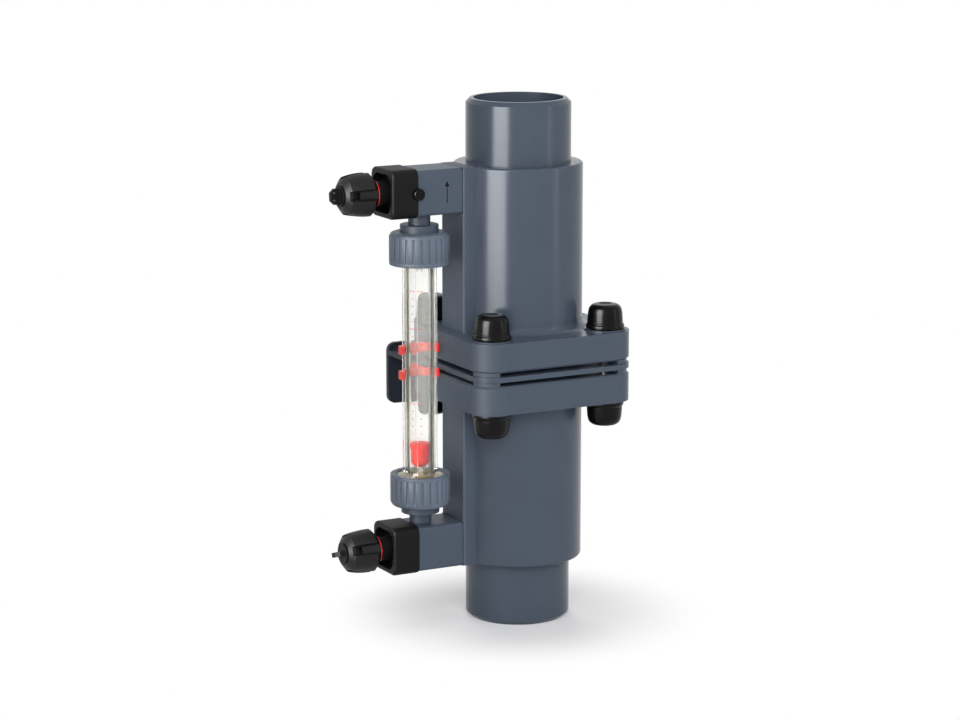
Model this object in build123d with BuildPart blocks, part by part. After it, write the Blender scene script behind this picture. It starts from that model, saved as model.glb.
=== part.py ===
"""Variable area flow meter of the bypass kind, in grey PVC-U.

Two half bodies are bolted at square flanges round an orifice plate. A valve block stands on each
half body's rail, and a clear metering tube with its float hangs between the two blocks.
The origin is the centre of the lower pipe end, +Z is up along the pipe and with the flow, and the
metering tube is on the -X side. Lengths are in millimetres.
"""

import os
from math import cos, radians, sin, sqrt, tan

from build123d import *

os.makedirs("parts", exist_ok=True)

# Pipe ends and half bodies
pipe_od = 63.0
pipe_wall = 4.7
spigot_length = 38.0
spigot_chamfer = 2.5
barrel_od = 77.3
barrel_length = 99.1
shoulder_round = 1.6
rail_proud = 5.75
rail_width = 28.4
rail_round = 1.5

# Flanges, orifice plate and what seals them
flange_corner = 14.4
flange_thickness = 17.3
flange_edge = 1.2
flange_fillet = 5.0
plate_thickness = 3.1
plate_gap = 2.45
pad_side = 13.0
orifice_d = 41.0
orifice_bevel = 1.2
seal_thickness = 1.6
seal_width = 10.0
seal_setback = 1.2
land_margin = 1.0

# Flange bolts and their protective caps
bolt_d = 8.0
bolt_clearance = 0.5
bolt_head_flats = 13.0
bolt_head_height = 5.3
nut_height = 6.5
thread_beyond_nut = 2.0
washer_d = 16.0
washer_thickness = 1.6
boss_d = 25.0
boss_height = 0.8
cap_to_barrel = 4.1
cap_skirt_d = 23.1
cap_skirt_height = 3.1
cap_waist_d = 20.2
cap_waist_height = 0.9
cap_body_d = 21.4
cap_height = 15.0
cap_top_d = 14.0
cap_shoulder_height = 4.0
cap_shoulder_round = 4.4
cap_thread_d = 11.0

# Wall bracket behind the flanges
bracket_side_reach = 8.2
bracket_thickness = 3.0
bracket_rise = 5.9
bracket_drop = 31.8
bracket_corner = 5.0
bracket_ear = 18.0
bracket_hole_d = 5.5
bracket_hole_spacing = 36.0
bracket_hole_edge = 5.2

# Valve blocks
block_beyond_tube = 7.7
block_side = 27.0
block_round = 2.0
tapping_d = 6.0
seat_od = 13.0
seat_setback = 3.2
chamber_d = 22.0
chamber_depth = 12.0
branch_d = 9.0

# Metering tube, its unions and its float
tube_to_flange = 13.5
tube_od = 17.2
tube_half_length = 75.3
tube_end_d = 27.9
tube_end_length = 11.3
taper_d_low = 12.5
taper_d_high = 14.0
tube_rail_reach = 10.5
tube_rail_width = 5.0
tube_rail_half_length = 61.5
rail_groove_width = 1.6
rail_groove_depth = 0.8
union_gap = 0.1
union_flange_d = 27.9
union_flange_thickness = 4.0
collar_d = 22.9
collar_length = 7.7
nipple_d = 13.2
nipple_length = 6.4
nut_d = 35.8
nut_length = 19.5
nut_shoulder = 3.3
nut_chamfer_length = 2.8
nut_chamfer_d = 29.0
nut_ribs = 24
nut_groove_width = 1.2
nut_groove_depth = 0.8
nut_groove_length = 14.6
thread_clearance = 0.15
seal_ring_d = 19.6
seal_ring_section = 2.4
seal_ring_depth = 1.8

float_head_d = 12.0
float_head_height = 3.4
float_body_d = 11.0
float_height = 14.0
float_above_foot = 16.4
float_nose_height = 3.5
float_nose_setback = 2.4
stop_plate_d = 15.4
stop_plate_thickness = 2.0
stop_post_d = 3.6
stop_hole_d = 3.2
stop_holes = 6
stop_clearance = 0.05

# Set-point markers on the tube rails
marker_height = 5.0
marker_wall = 1.7
marker_clearance = 0.2
marker_arm_wall = 2.0
marker_arm_front = 1.3
marker_arm_chamfer = 1.3
marker_web = 1.6
marker_lug_width = 1.2
marker_lug_length = 0.7
pointer_width = 13.0
upper_marker_base = 9.6
upper_pointer = -3.2
lower_marker_base = -5.5
lower_pointer = 3.4

# Bonnets, spindles and knobs
bonnet_side = 29.0
bonnet_length = 16.8
bonnet_corner = 4.5
bonnet_edge_round = 1.6
pocket_side = 23.0
pocket_corner = 6.0
pocket_depth = 7.0
neck_d = 14.4
neck_length = 14.4
cavity_d = 17.0
cavity_wall = 2.3
diaphragm_d = 24.0
diaphragm_thickness = 1.6
diaphragm_stud_d = 6.0
valve_lift = 4.0
compressor_d = 16.0
compressor_thickness = 4.0
compressor_socket = 2.8
spindle_d = 8.0
running_clearance = 0.05
ring_d = 17.0
ring_width = 2.0
ring_setback = 0.3
knob_over_neck = 1.2
knob_d = 26.3
knob_length = 20.5
knob_front_d = 22.8
knob_end_d = 15.6
knob_cavity_depth = 6.5
knob_cavity_clearance = 0.4
knob_blind = 3.0
knob_front_length = 2.7
knob_belly_d = 25.7
knob_rear_wall = 0.6
lobes = 4
flute_angle = 30.0
flute_floor = 10.0
keyhole_width = 4.4
keyhole_length = 4.6
keyhole_depth = 3.6
keyhole_setback = 3.6
cap_disc_d = 12.6
cap_disc_height = 0.9
fin_width = 9.4
fin_length = 6.6
fin_thickness = 2.8
fin_eye_d = 1.4
fin_eye_spacing = 4.4
fin_eye_share = 0.62
upper_fin_angle = 95.5
lower_fin_angle = 19.0
peg_d = 7.0
peg_sink = 1.2
peg_proud = 2.2
peg_edge = 0.5

# Places that follow from the sizes above
rail_reach = barrel_od / 2 + rail_proud
bolt_spacing = sqrt(2) * (barrel_od / 2 + cap_to_barrel + cap_skirt_d / 2)
flange_side = bolt_spacing + 2 * flange_corner
bracket_width = flange_side + 2 * bracket_side_reach
tube_x = -(flange_side / 2 + tube_to_flange)
block_reach = block_beyond_tube - tube_x
barrel_base = spigot_length
flange_base = barrel_base + barrel_length
flange_face = flange_base + flange_thickness
mid_z = flange_face + plate_gap + plate_thickness / 2
mid_plane = Plane.XY.offset(mid_z)
union_face = mid_z - tube_half_length - union_gap
collar_low = union_face - union_flange_thickness - collar_length
lower_axis = collar_low - nipple_length - block_side / 2
valve_offset = mid_z - lower_axis
upper_axis = mid_z + valve_offset
bore_d = pipe_od - 2 * pipe_wall
bolt_hole_d = bolt_d + 2 * bolt_clearance
block_high = lower_axis + block_side / 2
stop_hole_circle_d = (stop_plate_d + stop_post_d - stop_hole_d) / 2
tube_mid_wall_d = (tube_od + taper_d_high) / 2
bonnet_face = block_reach + bonnet_length
pocket_floor = bonnet_face - pocket_depth
cavity_floor = pocket_floor - cavity_wall
neck_end = pocket_floor + neck_length
knob_rear = neck_end - knob_over_neck
knob_end = knob_rear + knob_length
spindle_end = knob_end - knob_blind


def upward(radius_and_height):
    """A point at a radius from the tube's axis and at a height, in the XZ plane."""
    radius, height = radius_and_height
    return (tube_x + radius, height)


def turned_about_tube(outline):
    """The solid that an outline of (radius, height) points makes about the tube's axis."""
    with BuildPart() as piece:
        with BuildSketch(Plane.XZ):
            with BuildLine():
                Polyline([upward(point) for point in outline], close=True)
            make_face()
        revolve(axis=Axis((tube_x, 0, 0), (0, 0, 1)))
    return piece.part


def along(axis_z, distance, angle):
    """The plane along a valve's axis whose normal stands at an angle from -Y towards +Z.

    Its own x points outwards, and it starts at a distance from the pipe's axis.
    """
    normal = (0, -cos(radians(angle)), sin(radians(angle)))
    return Plane(origin=(-distance, 0, axis_z), x_dir=(-1, 0, 0), z_dir=normal)


def outward(distance, axis_z):
    """The plane across a valve's axis, at a distance from the pipe's axis, facing outwards.

    Its own x is up and its own y is +Y.
    """
    return Plane(origin=(-distance, 0, axis_z), x_dir=(0, 0, 1), z_dir=(-1, 0, 0))


# Lower half body: spigot, barrel with its rail, and square flange
with BuildPart() as lower_body:
    with BuildSketch(Plane.XY):
        Circle(pipe_od / 2)
    extrude(amount=spigot_length)
    chamfer(lower_body.edges().group_by(Axis.Z)[0], spigot_chamfer)
    with BuildSketch(Plane.XY.offset(barrel_base)):
        Circle(barrel_od / 2)
    extrude(amount=barrel_length)
    fillet(lower_body.edges().filter_by(GeomType.CIRCLE).filter_by_position(
        Axis.Z, barrel_base, barrel_base).sort_by(SortBy.RADIUS)[-1], shoulder_round)
    with BuildSketch(Plane.XY.offset(barrel_base)):
        with Locations((-rail_reach / 2, 0)):
            rail = Rectangle(rail_reach, rail_width)
        fillet(rail.vertices().group_by(Axis.X)[0], rail_round)
    extrude(amount=barrel_length)
    with BuildSketch(Plane.XY.offset(flange_base)):
        RectangleRounded(flange_side, flange_side, flange_corner)
    extrude(amount=flange_thickness)
    chamfer(lower_body.faces().filter_by(Axis.Z).filter_by_position(
        Axis.Z, flange_face, flange_face)[0].outer_wire().edges(), flange_edge)
    # The web of material where barrel and flange meet
    with BuildSketch(Plane.XZ):
        with BuildLine():
            Line((0, flange_base), (barrel_od / 2 + flange_fillet, flange_base))
            CenterArc((barrel_od / 2 + flange_fillet, flange_base - flange_fillet),
                      flange_fillet, 90, 90)
            Line((barrel_od / 2, flange_base - flange_fillet), (0, flange_base - flange_fillet))
            Line((0, flange_base - flange_fillet), (0, flange_base))
        make_face()
    revolve(axis=Axis.Z)
    # Bosses under the caps, small corner pads that steady the plate, and the seal's land
    with BuildSketch(Plane.XY.offset(flange_base - boss_height)):
        with GridLocations(bolt_spacing, bolt_spacing, 2, 2):
            Circle(boss_d / 2)
    extrude(amount=boss_height)
    with BuildSketch(Plane.XY.offset(flange_face)):
        with GridLocations(flange_side - pad_side, flange_side - pad_side, 2, 2):
            Rectangle(pad_side, pad_side)
        RectangleRounded(flange_side - 2 * flange_edge, flange_side - 2 * flange_edge,
                         flange_corner - flange_edge, mode=Mode.INTERSECT)
    extrude(amount=plate_gap)
    with BuildSketch(Plane.XY.offset(flange_face)):
        Circle(bore_d / 2 + 2 * seal_setback + seal_width + land_margin)
    extrude(amount=plate_gap - seal_thickness)
    # Pipe bore, bolt holes and the pressure tapping
    with BuildSketch(Plane.XY):
        Circle(bore_d / 2)
    extrude(amount=mid_z, mode=Mode.SUBTRACT)
    with BuildSketch(Plane.XY.offset(flange_base - boss_height)):
        with GridLocations(bolt_spacing, bolt_spacing, 2, 2):
            Circle(bolt_hole_d / 2)
    extrude(amount=mid_z - flange_base, mode=Mode.SUBTRACT)
    with BuildSketch(outward(0, lower_axis)):
        Circle(tapping_d / 2)
    extrude(amount=rail_reach, mode=Mode.SUBTRACT)

with BuildPart() as upper_body:
    mirror(lower_body.part, about=mid_plane)

# Orifice plate between the flanges, bevelled on its outlet side
with BuildPart() as orifice_plate:
    with BuildSketch(mid_plane.offset(-plate_thickness / 2)):
        RectangleRounded(flange_side, flange_side, flange_corner)
        Circle(orifice_d / 2, mode=Mode.SUBTRACT)
        with GridLocations(bolt_spacing, bolt_spacing, 2, 2):
            Circle(bolt_hole_d / 2, mode=Mode.SUBTRACT)
    extrude(amount=plate_thickness)
    chamfer(orifice_plate.edges().filter_by(GeomType.CIRCLE).group_by(Axis.Z)[-1]
            .sort_by_distance((0, 0, mid_z))[0], orifice_bevel)

# Flat seals between each flange and the orifice plate
with BuildPart() as lower_flange_seal:
    with BuildSketch(mid_plane.offset(-plate_thickness / 2 - seal_thickness)):
        Circle(bore_d / 2 + seal_setback + seal_width)
        Circle(bore_d / 2 + seal_setback, mode=Mode.SUBTRACT)
    extrude(amount=seal_thickness)

with BuildPart() as upper_flange_seal:
    mirror(lower_flange_seal.part, about=mid_plane)

# Bolts with their heads up, washers under heads and nuts, and the nuts
stack_half = mid_z - flange_base + boss_height
upper_seat = mid_z + stack_half
lower_seat = mid_z - stack_half

with BuildPart() as flange_bolts:
    with BuildSketch(Plane.XY.offset(upper_seat + washer_thickness)):
        with GridLocations(bolt_spacing, bolt_spacing, 2, 2):
            RegularPolygon(bolt_head_flats / 2, 6, major_radius=False)
    extrude(amount=bolt_head_height)
    with BuildSketch(Plane.XY.offset(upper_seat + washer_thickness)):
        with GridLocations(bolt_spacing, bolt_spacing, 2, 2):
            Circle(bolt_d / 2)
    extrude(amount=-(2 * stack_half + 2 * washer_thickness + nut_height + thread_beyond_nut))

with BuildPart() as flange_nuts:
    with BuildSketch(Plane.XY.offset(lower_seat - washer_thickness)):
        with GridLocations(bolt_spacing, bolt_spacing, 2, 2):
            RegularPolygon(bolt_head_flats / 2, 6, major_radius=False)
            Circle(bolt_d / 2, mode=Mode.SUBTRACT)
    extrude(amount=-nut_height)

with BuildPart() as flange_washers:
    for seat, direction in ((upper_seat, 1), (lower_seat, -1)):
        with BuildSketch(Plane.XY.offset(seat)):
            with GridLocations(bolt_spacing, bolt_spacing, 2, 2):
                Circle(washer_d / 2)
                Circle(bolt_hole_d / 2, mode=Mode.SUBTRACT)
        extrude(amount=direction * washer_thickness)

# Protective caps: a skirt, a waist and a round body with a flat top
cap_nut_depth = washer_thickness + nut_height + bolt_clearance
cap_thread_depth = cap_nut_depth + thread_beyond_nut

with BuildPart(mode=Mode.PRIVATE) as cap:
    with BuildSketch(Plane.XZ):
        with BuildLine():
            Polyline((0, 0), (cap_skirt_d / 2, 0), (cap_skirt_d / 2, cap_skirt_height),
                     (cap_waist_d / 2, cap_skirt_height + cap_waist_height),
                     (cap_body_d / 2, cap_skirt_height + 2 * cap_waist_height),
                     (cap_body_d / 2, cap_height - cap_shoulder_height))
            RadiusArc((cap_body_d / 2, cap_height - cap_shoulder_height),
                      (cap_top_d / 2, cap_height), -cap_shoulder_round)
            Polyline((cap_top_d / 2, cap_height), (0, cap_height), (0, 0))
        make_face()
    revolve(axis=Axis.Z)
    with BuildSketch(Plane.XY):
        Circle(washer_d / 2 + bolt_clearance)
    extrude(amount=cap_nut_depth, mode=Mode.SUBTRACT)
    with BuildSketch(Plane.XY):
        Circle(cap_thread_d / 2)
    extrude(amount=cap_thread_depth, mode=Mode.SUBTRACT)

with BuildPart() as upper_bolt_caps:
    with Locations(Plane.XY.offset(upper_seat)):
        with GridLocations(bolt_spacing, bolt_spacing, 2, 2):
            add(cap.part)

with BuildPart() as lower_bolt_caps:
    mirror(upper_bolt_caps.part, about=mid_plane)

# Wall bracket, welded to the rear edge of the orifice plate, with an ear along each side of it
rear = flange_side / 2
with BuildPart() as mounting_bracket:
    with BuildSketch(Plane.XZ.offset(-rear)):
        with Locations((0, mid_z + (bracket_rise - bracket_drop) / 2)):
            leg = Rectangle(bracket_width, bracket_rise + bracket_drop)
        fillet(leg.vertices(), bracket_corner)
        with Locations((0, mid_z - bracket_drop + bracket_hole_edge)):
            with GridLocations(bracket_hole_spacing, 1, 2, 1):
                Circle(bracket_hole_d / 2, mode=Mode.SUBTRACT)
    extrude(amount=-bracket_thickness)
    with BuildSketch(mid_plane.offset(-plate_thickness / 2)):
        for side in (-1, 1):
            with Locations((side * (bracket_width + flange_side) / 4, rear - bracket_ear / 2)):
                Rectangle((bracket_width - flange_side) / 2, bracket_ear)
    extrude(amount=plate_thickness)

# Lower valve block, welded to the rail: tapping, seat, annular chamber and branch to the tube
with BuildPart() as lower_valve_block:
    with BuildSketch(outward(rail_reach, lower_axis)):
        RectangleRounded(block_side, block_side, block_round)
    extrude(amount=block_reach - rail_reach)
    with BuildSketch(outward(block_reach - chamber_depth, lower_axis)):
        Circle(chamber_d / 2)
    extrude(amount=chamber_depth, mode=Mode.SUBTRACT)
    with BuildSketch(outward(block_reach - chamber_depth, lower_axis)):
        Circle(seat_od / 2)
    extrude(amount=chamber_depth - seat_setback)
    with BuildSketch(outward(rail_reach, lower_axis)):
        Circle(tapping_d / 2)
    extrude(amount=block_reach - rail_reach, mode=Mode.SUBTRACT)
    with BuildSketch(Plane.XY.offset(block_high)):
        with Locations((tube_x, 0)):
            Circle(branch_d / 2)
    extrude(amount=-(block_side - seat_od) / 2, mode=Mode.SUBTRACT)

with BuildPart() as upper_valve_block:
    mirror(lower_valve_block.part, about=mid_plane)
    # Half of the peg's hole, in the front of the seam with the bonnet
    with BuildSketch(Plane.XZ.offset(block_side / 2)):
        with Locations((-block_reach, upper_axis)):
            Circle(peg_d / 2)
    extrude(amount=-peg_sink, mode=Mode.SUBTRACT)

# Union end: nipple from the block, collar, and the flange that the union nut pulls on
union_flange_low = union_face - union_flange_thickness
with BuildPart() as lower_union_end:
    add(turned_about_tube([
        (branch_d / 2, block_high), (nipple_d / 2, block_high), (nipple_d / 2, collar_low),
        (collar_d / 2, collar_low), (collar_d / 2, union_flange_low),
        (union_flange_d / 2, union_flange_low), (union_flange_d / 2, union_face),
        (branch_d / 2, union_face)]))
    with BuildSketch(Plane.XY.offset(union_face)):
        with Locations((tube_x, 0)):
            Circle((seal_ring_d + seal_ring_section) / 2)
            Circle((seal_ring_d - seal_ring_section) / 2, mode=Mode.SUBTRACT)
    extrude(amount=-seal_ring_depth, mode=Mode.SUBTRACT)

with BuildPart() as upper_union_end:
    mirror(lower_union_end.part, about=mid_plane)

# Seal ring in the union end's groove, squeezed by the tube's end
with BuildPart() as lower_tube_seal:
    with BuildSketch(Plane.XY.offset(union_face - seal_ring_depth)):
        with Locations((tube_x, 0)):
            Circle((seal_ring_d + seal_ring_section) / 2)
            Circle((seal_ring_d - seal_ring_section) / 2, mode=Mode.SUBTRACT)
    extrude(amount=seal_ring_depth + union_gap)

with BuildPart() as upper_tube_seal:
    mirror(lower_tube_seal.part, about=mid_plane)

# Union nut, with grip ribs and a wide chamfer towards the valve block
nut_low = union_flange_low - nut_shoulder - thread_clearance
nut_shoulder_top = nut_low + nut_shoulder
nut_top = nut_low + nut_length
with BuildPart() as lower_union_nut:
    add(turned_about_tube([
        (collar_d / 2 + thread_clearance, nut_low), (nut_chamfer_d / 2, nut_low),
        (nut_d / 2, nut_low + nut_chamfer_length), (nut_d / 2, nut_top),
        (tube_end_d / 2 + thread_clearance, nut_top),
        (tube_end_d / 2 + thread_clearance, nut_shoulder_top),
        (collar_d / 2 + thread_clearance, nut_shoulder_top)]))
    with BuildSketch(Plane.XY.offset(nut_low + nut_chamfer_length)):
        with Locations((tube_x, 0)):
            with PolarLocations(nut_d / 2, nut_ribs):
                Rectangle(2 * nut_groove_depth, nut_groove_width)
    extrude(amount=nut_groove_length, mode=Mode.SUBTRACT)

with BuildPart() as upper_union_nut:
    mirror(lower_union_nut.part, about=mid_plane)

# Clear metering tube: threaded ends, tapered bore, and a grooved rail on each side for the markers
tube_low = mid_z - tube_half_length
tube_high = mid_z + tube_half_length
low_seat = tube_low + stop_plate_thickness
high_seat = tube_high - stop_plate_thickness
stop_bore = stop_plate_d / 2 + stop_clearance
with BuildPart() as metering_tube:
    add(turned_about_tube([
        (stop_bore, tube_low), (tube_end_d / 2, tube_low),
        (tube_end_d / 2, tube_low + tube_end_length), (tube_od / 2, tube_low + tube_end_length),
        (tube_od / 2, tube_high - tube_end_length), (tube_end_d / 2, tube_high - tube_end_length),
        (tube_end_d / 2, tube_high), (stop_bore, tube_high), (stop_bore, high_seat),
        (taper_d_high / 2, high_seat), (taper_d_low / 2, low_seat), (stop_bore, low_seat)]))
    with BuildSketch(Plane.XY.offset(mid_z - tube_rail_half_length)):
        with Locations((tube_x, 0)):
            Rectangle(2 * tube_rail_reach, tube_rail_width)
            with GridLocations(2 * tube_rail_reach, 1, 2, 1):
                Rectangle(2 * rail_groove_depth, rail_groove_width, mode=Mode.SUBTRACT)
            Circle(tube_mid_wall_d / 2, mode=Mode.SUBTRACT)
    extrude(amount=2 * tube_rail_half_length)

# Float: a sharp-edged head on a body with a blunt nose
float_low = tube_low + float_above_foot
with BuildPart() as float_body:
    with BuildSketch(Plane.XY.offset(float_low)):
        with Locations((tube_x, 0)):
            Circle(float_body_d / 2)
    extrude(amount=float_height)
    chamfer(float_body.edges().group_by(Axis.Z)[0], float_nose_height, float_nose_setback)
    with BuildSketch(Plane.XY.offset(float_low + float_height - float_head_height)):
        with Locations((tube_x, 0)):
            Circle(float_head_d / 2)
    extrude(amount=float_head_height)

# Float stop: a pierced plate in the tube's end with a post that the float rests on
with BuildPart() as lower_float_stop:
    with BuildSketch(Plane.XY.offset(tube_low)):
        with Locations((tube_x, 0)):
            Circle(stop_plate_d / 2)
            with PolarLocations(stop_hole_circle_d / 2, stop_holes):
                Circle(stop_hole_d / 2, mode=Mode.SUBTRACT)
    extrude(amount=stop_plate_thickness)
    with BuildSketch(Plane.XY.offset(tube_low)):
        with Locations((tube_x, 0)):
            Circle(stop_post_d / 2)
    extrude(amount=float_low - tube_low)

with BuildPart() as upper_float_stop:
    mirror(lower_float_stop.part, about=mid_plane)


def set_point_marker(base, pointer):
    """A clip round the back of the tube with a lug in each rail's groove, and a pointer up or down."""
    inner = tube_od / 2 + marker_clearance
    slot_reach = tube_rail_reach + marker_clearance
    slot_back = tube_rail_width / 2 + marker_clearance
    arm_back = slot_back + marker_web
    arm_reach = slot_reach + marker_arm_wall
    root = mid_z + base + (marker_height if pointer > 0 else 0)
    with BuildPart(mode=Mode.PRIVATE) as tip:
        with BuildSketch(Plane.XY.offset(root)):
            with Locations((tube_x, 0)):
                Circle(inner + marker_wall)
                Circle(inner, mode=Mode.SUBTRACT)
        extrude(amount=pointer)
        with BuildSketch(Plane.XZ):
            with BuildLine():
                Polyline((tube_x - pointer_width / 2, root), (tube_x + pointer_width / 2, root),
                         (tube_x, root + pointer), close=True)
            make_face()
        extrude(amount=-2 * inner, mode=Mode.INTERSECT)
    with BuildPart() as piece:
        with BuildSketch(Plane.XY.offset(mid_z + base)):
            with Locations((tube_x, 0)):
                Circle(inner + marker_wall)
                Rectangle(3 * inner, 2 * inner, align=(Align.CENTER, Align.MAX), mode=Mode.SUBTRACT)
            with Locations((tube_x, -marker_arm_front)):
                arms = Rectangle(2 * arm_reach, arm_back + marker_arm_front,
                                 align=(Align.CENTER, Align.MIN))
                chamfer(arms.vertices().group_by(Axis.Y)[-1], marker_arm_chamfer)
                Rectangle(2 * slot_reach, slot_back + marker_arm_front,
                          align=(Align.CENTER, Align.MIN), mode=Mode.SUBTRACT)
            with Locations((tube_x, 0)):
                Circle(inner, mode=Mode.SUBTRACT)
                with GridLocations(2 * slot_reach, 1, 2, 1):
                    Rectangle(2 * marker_lug_length, marker_lug_width)
        extrude(amount=marker_height)
        add(tip.part)
    return piece


upper_marker = set_point_marker(upper_marker_base, upper_pointer)
lower_marker = set_point_marker(lower_marker_base, lower_pointer)

# Bonnet: a square cover with a pocket round the neck, clamping the diaphragm to the block
with BuildPart() as lower_bonnet:
    with BuildSketch(outward(block_reach, lower_axis)):
        RectangleRounded(bonnet_side, bonnet_side, bonnet_corner)
    extrude(amount=bonnet_length)
    fillet(lower_bonnet.faces().sort_by(Axis.X)[0].outer_wire().edges(), bonnet_edge_round)
    with BuildSketch(outward(pocket_floor, lower_axis)):
        RectangleRounded(pocket_side, pocket_side, pocket_corner)
    extrude(amount=pocket_depth, mode=Mode.SUBTRACT)
    with BuildSketch(outward(pocket_floor, lower_axis)):
        Circle(neck_d / 2)
    extrude(amount=neck_length)
    with BuildSketch(outward(block_reach, lower_axis)):
        Circle(diaphragm_d / 2)
    extrude(amount=diaphragm_thickness, mode=Mode.SUBTRACT)
    with BuildSketch(outward(block_reach, lower_axis)):
        Circle(cavity_d / 2)
    extrude(amount=cavity_floor - block_reach, mode=Mode.SUBTRACT)
    with BuildSketch(outward(block_reach, lower_axis)):
        Circle(spindle_d / 2 + running_clearance)
    extrude(amount=neck_end - block_reach, mode=Mode.SUBTRACT)

with BuildPart() as upper_bonnet:
    mirror(lower_bonnet.part, about=mid_plane)
    # The other half of the peg's hole
    with BuildSketch(Plane.XZ.offset(bonnet_side / 2)):
        with Locations((-block_reach, upper_axis)):
            Circle(peg_d / 2)
    extrude(amount=-(peg_sink + (bonnet_side - block_side) / 2), mode=Mode.SUBTRACT)

# Locking peg in the front of the upper valve's seam
with BuildPart() as upper_lock_peg:
    with BuildSketch(Plane.XZ.offset(block_side / 2 - peg_sink)):
        with Locations((-block_reach, upper_axis)):
            Circle(peg_d / 2)
    extrude(amount=peg_sink + (bonnet_side - block_side) / 2 + peg_proud)
    chamfer(upper_lock_peg.edges().group_by(Axis.Y)[0], peg_edge)

# Diaphragm, with the stud that the compressor holds
compressor_face = block_reach - seat_setback + diaphragm_thickness + valve_lift
with BuildPart() as lower_diaphragm:
    with BuildSketch(outward(block_reach, lower_axis)):
        Circle(diaphragm_d / 2)
    extrude(amount=diaphragm_thickness)
    with BuildSketch(outward(block_reach, lower_axis)):
        Circle(diaphragm_stud_d / 2)
    extrude(amount=compressor_face - block_reach)

with BuildPart() as upper_diaphragm:
    mirror(lower_diaphragm.part, about=mid_plane)

# Compressor, pushed by the spindle's end
with BuildPart() as lower_compressor:
    with BuildSketch(outward(compressor_face, lower_axis)):
        Circle(compressor_d / 2)
    extrude(amount=compressor_thickness)
    with BuildSketch(outward(compressor_face + compressor_thickness, lower_axis)):
        Circle(spindle_d / 2 + running_clearance)
    extrude(amount=-compressor_socket, mode=Mode.SUBTRACT)

with BuildPart() as upper_compressor:
    mirror(lower_compressor.part, about=mid_plane)

# Spindle, from the compressor's socket to the knob's blind bore
spindle_low = compressor_face + compressor_thickness - compressor_socket + running_clearance
with BuildPart() as lower_spindle:
    with BuildSketch(outward(spindle_low, lower_axis)):
        Circle(spindle_d / 2)
    extrude(amount=spindle_end - spindle_low)

with BuildPart() as upper_spindle:
    mirror(lower_spindle.part, about=mid_plane)

# Red ring on the end of the neck, which the knob covers when the valve is shut
with BuildPart() as lower_indicator_ring:
    with BuildSketch(outward(neck_end - ring_setback - ring_width, lower_axis)):
        Circle(ring_d / 2)
        Circle(neck_d / 2, mode=Mode.SUBTRACT)
    extrude(amount=ring_width)

with BuildPart() as upper_indicator_ring:
    mirror(lower_indicator_ring.part, about=mid_plane)


def valve_knob(axis_z, fin_angle):
    """A lobed knob that is hollow at the rear, its fin standing at an angle from -Y to +Z."""
    cavity_r = ring_d / 2 + knob_cavity_clearance
    rear_r = cavity_r + knob_rear_wall
    shoulder = knob_rear + knob_d / 2 - rear_r
    front = knob_end - knob_front_length
    flute_reach = knob_d
    flute_half = flute_reach * tan(radians(flute_angle / 2))
    with BuildPart() as piece:
        with BuildSketch(Plane.XZ):
            with BuildLine():
                Polyline((-knob_rear, axis_z), (-knob_rear, axis_z + rear_r),
                         (-shoulder, axis_z + knob_d / 2))
                ThreePointArc((-shoulder, axis_z + knob_d / 2),
                              (-(shoulder + front) / 2, axis_z + knob_belly_d / 2),
                              (-front, axis_z + knob_front_d / 2))
                Polyline((-front, axis_z + knob_front_d / 2), (-knob_end, axis_z + knob_end_d / 2),
                         (-knob_end, axis_z), (-knob_rear, axis_z))
            make_face()
        revolve(axis=Axis((0, 0, axis_z), (1, 0, 0)))
        # Wedge-shaped flutes between the lobes, which run out towards the front
        with BuildSketch(outward(knob_rear, axis_z)):
            with PolarLocations(0, lobes, start_angle=fin_angle - 90):
                Polygon((0, 0), (flute_reach, -flute_half), (flute_reach, flute_half), align=None)
            Circle(flute_floor, mode=Mode.SUBTRACT)
        extrude(amount=knob_length, mode=Mode.SUBTRACT)
        # A keyhole pocket at the front of each flute
        for turn in range(lobes):
            side = along(axis_z, knob_rear, fin_angle + turn * 360 / lobes)
            with BuildSketch(side.offset(flute_floor - keyhole_depth)):
                with Locations((knob_length - keyhole_setback - keyhole_length / 2, 0)):
                    Rectangle(keyhole_length, keyhole_width)
            extrude(amount=knob_d / 2, mode=Mode.SUBTRACT)
        with BuildSketch(outward(knob_rear, axis_z)):
            Circle(cavity_r)
        extrude(amount=knob_cavity_depth, mode=Mode.SUBTRACT)
        with BuildSketch(outward(knob_rear, axis_z)):
            Circle(spindle_d / 2)
        extrude(amount=spindle_end - knob_rear, mode=Mode.SUBTRACT)
    return piece


upper_knob = valve_knob(upper_axis, upper_fin_angle)
lower_knob = valve_knob(lower_axis, lower_fin_angle)


def knob_cap(axis_z, fin_angle):
    """The round cover on a knob's end, with a fin that has two eyes for a locking wire."""
    with BuildPart() as piece:
        with BuildSketch(outward(knob_end, axis_z)):
            Circle(cap_disc_d / 2)
        extrude(amount=cap_disc_height)
        side = along(axis_z, knob_end, fin_angle + 90)
        with BuildSketch(side.offset(-fin_thickness / 2)):
            with Locations((fin_length / 2, 0)):
                fin = Rectangle(fin_length, fin_width)
            chamfer(fin.vertices().group_by(Axis.X)[-1], fin_width / 4)
            with Locations((fin_eye_share * fin_length, 0)):
                with GridLocations(1, fin_eye_spacing, 1, 2):
                    Circle(fin_eye_d / 2, mode=Mode.SUBTRACT)
        extrude(amount=fin_thickness)
    return piece


upper_knob_cap = knob_cap(upper_axis, upper_fin_angle)
lower_knob_cap = knob_cap(lower_axis, lower_fin_angle)

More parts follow.
